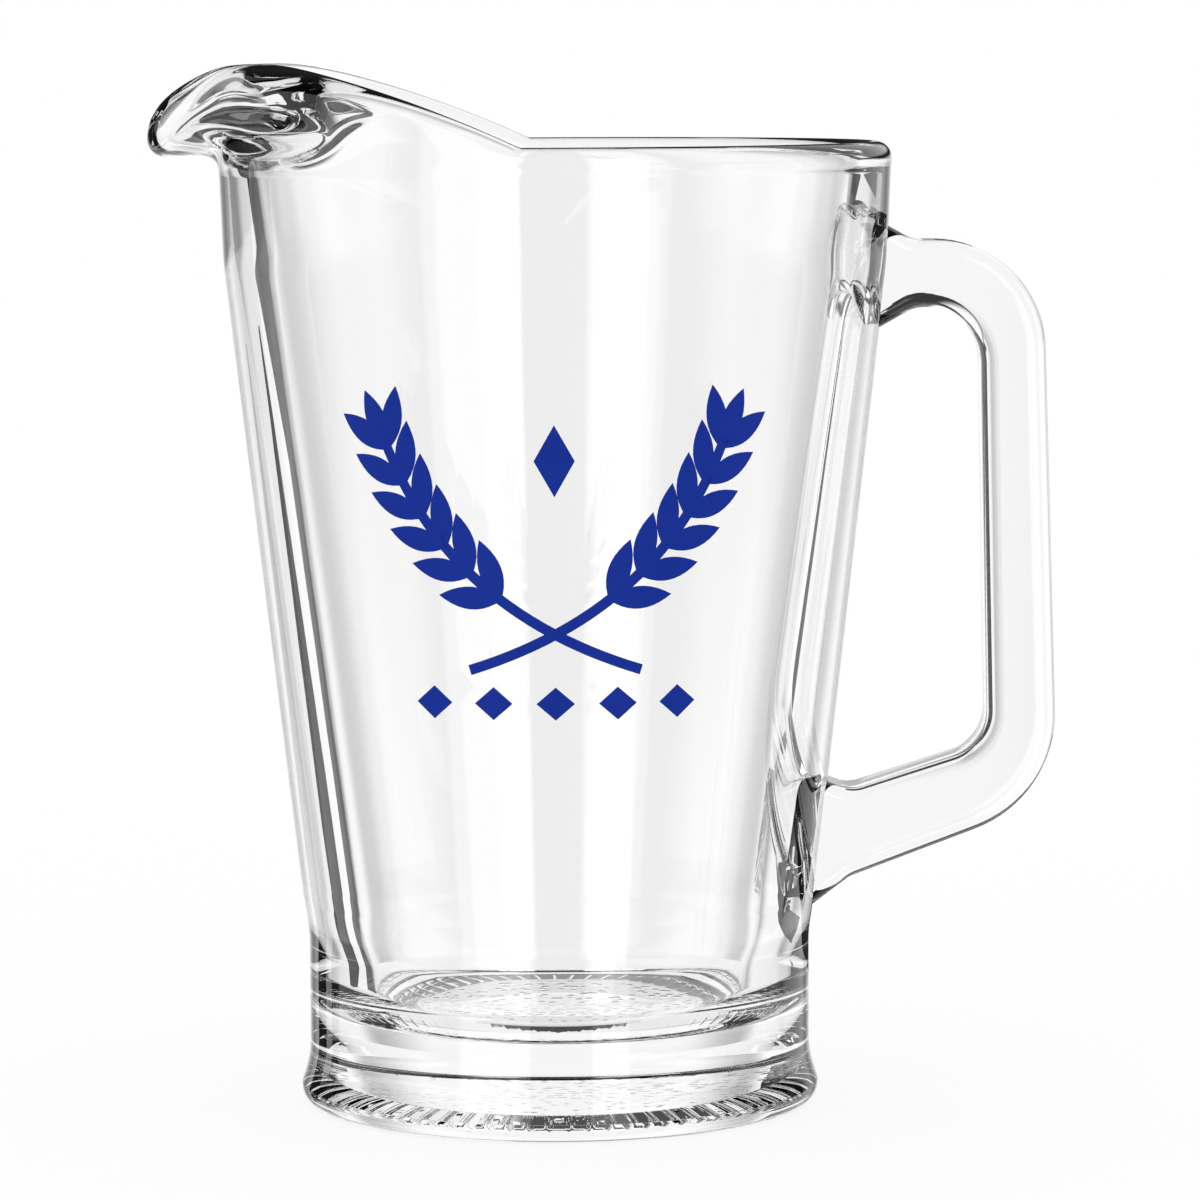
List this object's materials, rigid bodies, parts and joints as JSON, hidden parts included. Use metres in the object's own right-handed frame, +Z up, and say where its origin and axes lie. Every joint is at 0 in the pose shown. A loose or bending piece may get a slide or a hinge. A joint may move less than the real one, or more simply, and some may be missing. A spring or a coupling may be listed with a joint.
{
  "type": "pitcher",
  "caption": "Clear glass pitcher with a tapered wall, heavy base, pinched ice-guard pouring lip, applied side handle and a blue printed motif, for serving cold drinks.",
  "frame": {"origin": "on the table, under the middle of the overall box; the body's axis stands 10 mm from it towards -X", "axes": "+Z up along the body's axis; the lip pours towards -X, the handle is on +X and the print faces -Y"},
  "size_m": [0.1964, 0.146, 0.2267],
  "materials": {
    "clear_glass": "clear soda-lime glass, smooth and fire-polished, with faint mould lines",
    "blue_enamel": "fired ceramic ink, opaque, low gloss"
  },
  "bodies": {
    "root": {"glass_body": "clear_glass", "handle": "clear_glass", "print_barley": "blue_enamel", "print_lozenge_centre": "blue_enamel", "print_lozenge_1": "blue_enamel", "print_lozenge_2": "blue_enamel", "print_lozenge_3": "blue_enamel", "print_lozenge_4": "blue_enamel", "print_lozenge_5": "blue_enamel"}
  },
  "joints": []
}
